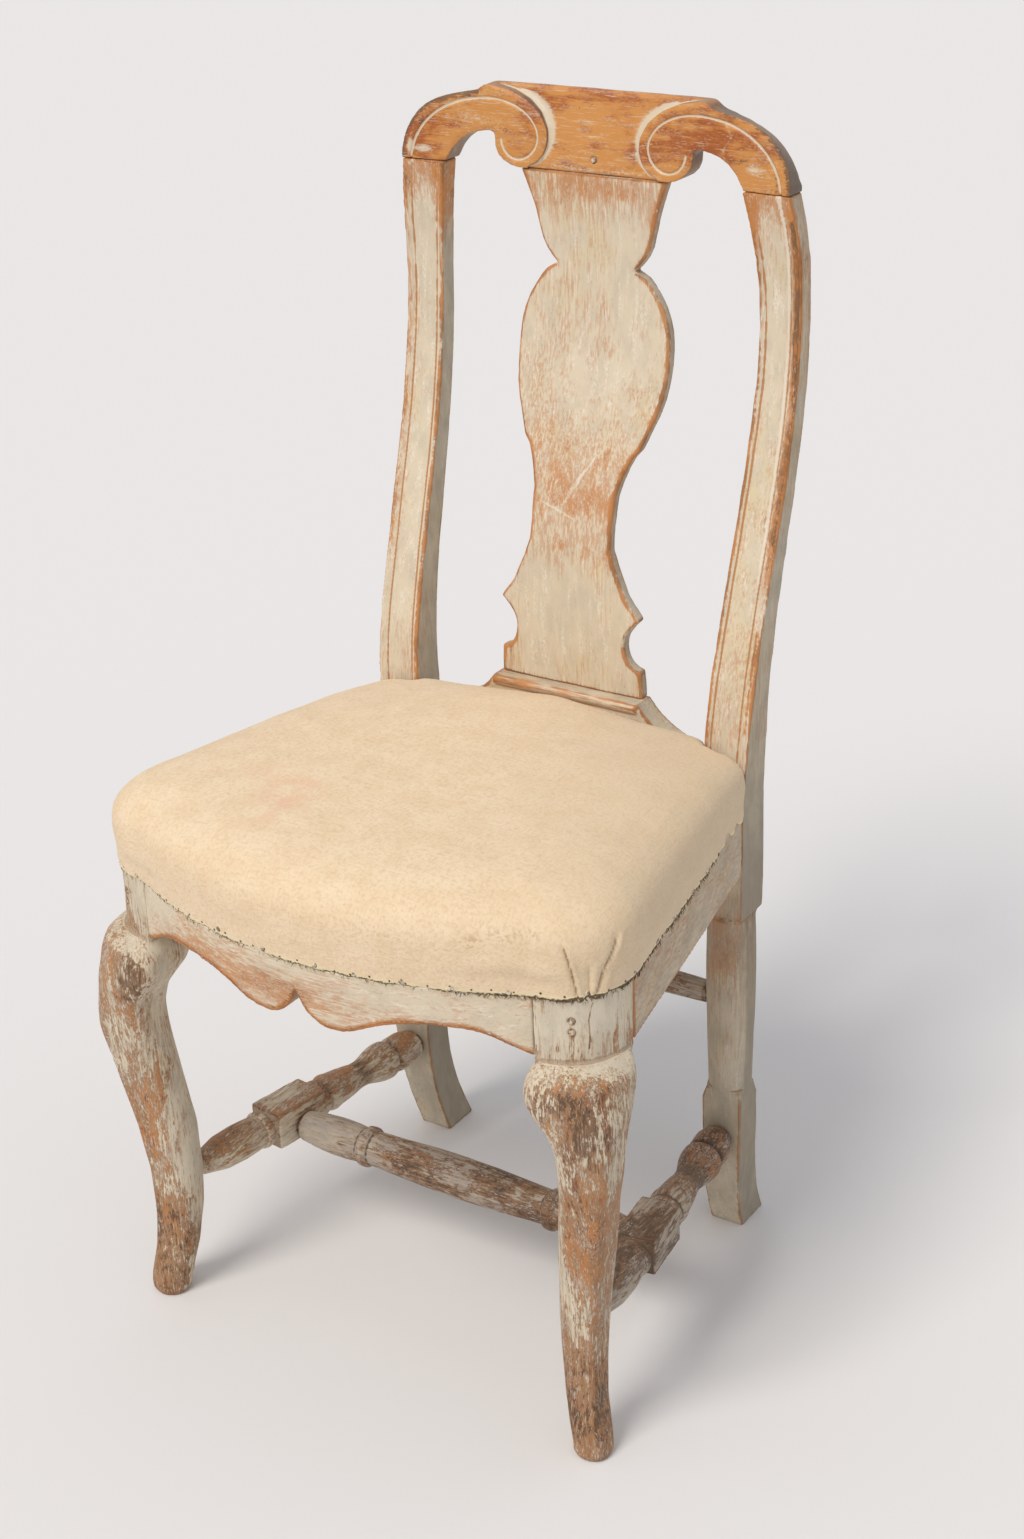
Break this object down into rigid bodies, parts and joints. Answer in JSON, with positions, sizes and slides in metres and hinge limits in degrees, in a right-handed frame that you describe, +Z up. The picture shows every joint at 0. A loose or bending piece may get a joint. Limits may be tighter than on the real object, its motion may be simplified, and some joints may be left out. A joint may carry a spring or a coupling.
{
  "type": "balloon back side chair",
  "caption": "Wooden side chair with a raked back, carved scrolled crest rail, vase splat, cabriole front legs, turned stretchers and a stuffed cloth seat.",
  "frame": {"origin": "on the floor, under the middle of the overall box", "axes": "+X to the right as seen from the front, +Y to the rear, +Z up"},
  "size_m": [0.5088, 0.4978, 1.0015],
  "materials": {
    "painted_wood": "pale grey-cream paint, worn through to brown wood at the edges",
    "stripped_wood": "orange-brown wood with traces of pale paint in the carving",
    "worn_wood": "brown wood with flaked remains of pale paint",
    "calico": "plain cream calico",
    "linen_pad": "coarse linen over horsehair",
    "hessian": "jute webbing and hessian"
  },
  "bodies": {
    "root": {"crest_rail": "stripped_wood", "cross_stretcher": "worn_wood", "front_leg_left": "worn_wood", "front_leg_right": "worn_wood", "front_seat_rail": "painted_wood", "hessian_sheet": "hessian", "rail_peg_left_1": "worn_wood", "rail_peg_left_2": "worn_wood", "rail_peg_right_1": "worn_wood", "rail_peg_right_2": "worn_wood", "rear_post_left": "painted_wood", "rear_post_right": "painted_wood", "rear_seat_rail": "painted_wood", "rear_stretcher": "painted_wood", "seat_cover": "calico", "seat_stuffing": "linen_pad", "side_seat_rail_left": "painted_wood", "side_seat_rail_right": "painted_wood", "side_stretcher_left": "worn_wood", "side_stretcher_right": "worn_wood", "splat": "painted_wood", "splat_peg": "worn_wood", "splat_shoe": "painted_wood", "webbing_cross_1": "hessian", "webbing_cross_2": "hessian", "webbing_cross_3": "hessian", "webbing_long_1": "hessian", "webbing_long_2": "hessian", "webbing_long_3": "hessian", "webbing_long_4": "hessian"}
  },
  "joints": []
}
